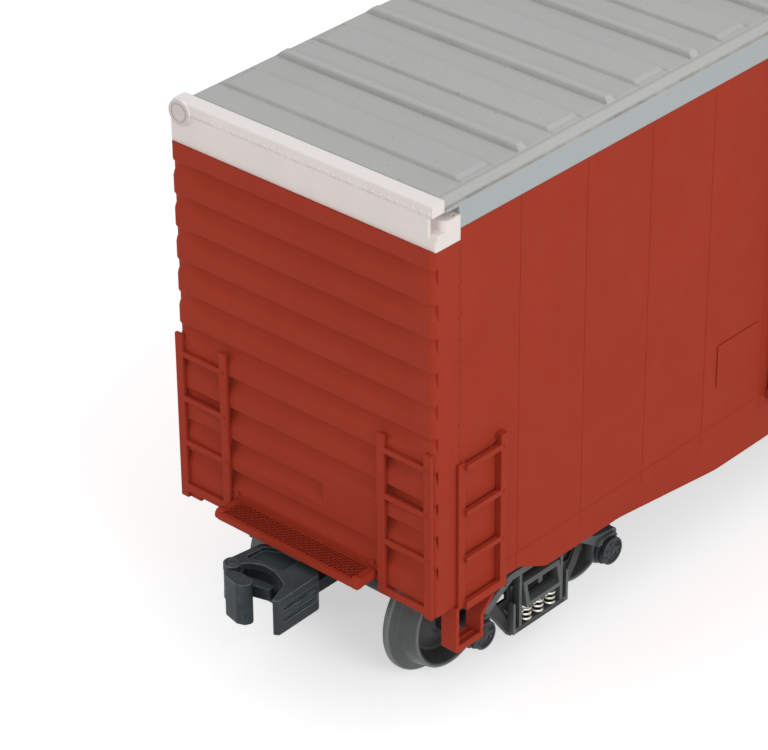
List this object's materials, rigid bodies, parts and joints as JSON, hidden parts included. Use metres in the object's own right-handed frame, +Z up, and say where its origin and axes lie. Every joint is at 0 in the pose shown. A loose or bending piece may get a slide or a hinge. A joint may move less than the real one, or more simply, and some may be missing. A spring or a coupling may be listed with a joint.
{
  "type": "model railroad boxcar",
  "caption": "O gauge high-cube boxcar with corrugated ends, sliding side doors, swivelling sprung trucks, turning wheelsets and opening knuckle couplers.",
  "frame": {"origin": "on the floor under the centre of the car, with the wheel flanges touching the floor", "axes": "+X along the car to the brake end, +Y to its left side, +Z up"},
  "size_m": [0.2524, 0.062, 0.0997],
  "materials": {
    "body_red": "satin oxide red",
    "roof_grey": "satin light grey",
    "band_white": "satin off-white",
    "frame_black": "matt black",
    "truck_black": "matt charcoal paint on die-cast",
    "cap_black": "satin black",
    "coupler_black": "blackened die-cast, semi-gloss",
    "wheel_metal": "dull blue-grey sintered metal",
    "spring_steel": "bright wire",
    "steel": "plated screw"
  },
  "bodies": {
    "car_body": {"side_wall_right": "body_red", "side_wall_left": "body_red", "roof": "roof_grey", "floor": "frame_black", "center_sill": "frame_black", "cross_bearers": "frame_black", "body_bolsters": "frame_black", "route_boards": "body_red", "door_tracks_right": "body_red", "door_tracks_left": "body_red", "side_ladders_right": "body_red", "side_ladders_left": "body_red", "corner_step_right": "body_red", "corner_step_left": "body_red", "brake_housing": "body_red", "brake_wheel": "body_red", "brake_equipment": "frame_black", "end_wall_a": "body_red", "end_cap_a": "band_white", "platform_a": "body_red", "end_ladders_a": "body_red", "pivot_pin_a": "steel", "end_wall_b": "body_red", "end_cap_b": "band_white", "platform_b": "body_red", "end_ladders_b": "body_red", "pivot_pin_b": "steel"},
    "right_door": {"door_right": "body_red"},
    "left_door": {"door_left": "body_red"},
    "truck_a": {"bolster_a": "truck_black", "side_frame_right_a": "truck_black", "side_frame_left_a": "truck_black", "bearing_caps_a": "cap_black", "springs_a": "spring_steel", "coupler_a": "coupler_black", "knuckle_pin_a": "coupler_black"},
    "outer_axle_a": {"outer_wheelset_a": "wheel_metal"},
    "inner_axle_a": {"inner_wheelset_a": "wheel_metal"},
    "knuckle_a_body": {"knuckle_a": "coupler_black"},
    "truck_b": {"bolster_b": "truck_black", "side_frame_right_b": "truck_black", "side_frame_left_b": "truck_black", "bearing_caps_b": "cap_black", "springs_b": "spring_steel", "coupler_b": "coupler_black", "knuckle_pin_b": "coupler_black"},
    "outer_axle_b": {"outer_wheelset_b": "wheel_metal"},
    "inner_axle_b": {"inner_wheelset_b": "wheel_metal"},
    "knuckle_b_body": {"knuckle_b": "coupler_black"}
  },
  "joints": [
    {"name": "truck_a_swivel", "type": "hinge", "parent": "car_body", "child": "truck_a", "pos_m": [-0.07945, 0, 0.0188], "axis": [0, 0, 1], "range_deg": [-13, 13]},
    {"name": "outer_axle_a_spin", "type": "hinge", "parent": "truck_a", "child": "outer_axle_a", "pos_m": [-0.09625, 0, 0.0113], "axis": [0, 1, 0], "continuous": true},
    {"name": "inner_axle_a_spin", "type": "hinge", "parent": "truck_a", "child": "inner_axle_a", "pos_m": [-0.06265, 0, 0.0113], "axis": [0, 1, 0], "continuous": true},
    {"name": "knuckle_a_open", "type": "hinge", "parent": "truck_a", "child": "knuckle_a_body", "pos_m": [-0.1222, 0.00635, 0.0204], "axis": [0, 0, -1], "range_deg": [0, 38]},
    {"name": "truck_b_swivel", "type": "hinge", "parent": "car_body", "child": "truck_b", "pos_m": [0.07945, 0, 0.0188], "axis": [0, 0, 1], "range_deg": [-13, 13]},
    {"name": "outer_axle_b_spin", "type": "hinge", "parent": "truck_b", "child": "outer_axle_b", "pos_m": [0.09625, 0, 0.0113], "axis": [0, 1, 0], "continuous": true},
    {"name": "inner_axle_b_spin", "type": "hinge", "parent": "truck_b", "child": "inner_axle_b", "pos_m": [0.06265, 0, 0.0113], "axis": [0, 1, 0], "continuous": true},
    {"name": "knuckle_b_open", "type": "hinge", "parent": "truck_b", "child": "knuckle_b_body", "pos_m": [0.1222, -0.00635, 0.0204], "axis": [0, 0, -1], "range_deg": [0, 38]},
    {"name": "right_door_slide", "type": "slide", "parent": "car_body", "child": "right_door", "axis": [1, 0, 0], "range_m": [0, 0.041]},
    {"name": "left_door_slide", "type": "slide", "parent": "car_body", "child": "left_door", "axis": [-1, 0, 0], "range_m": [0, 0.041]}
  ]
}
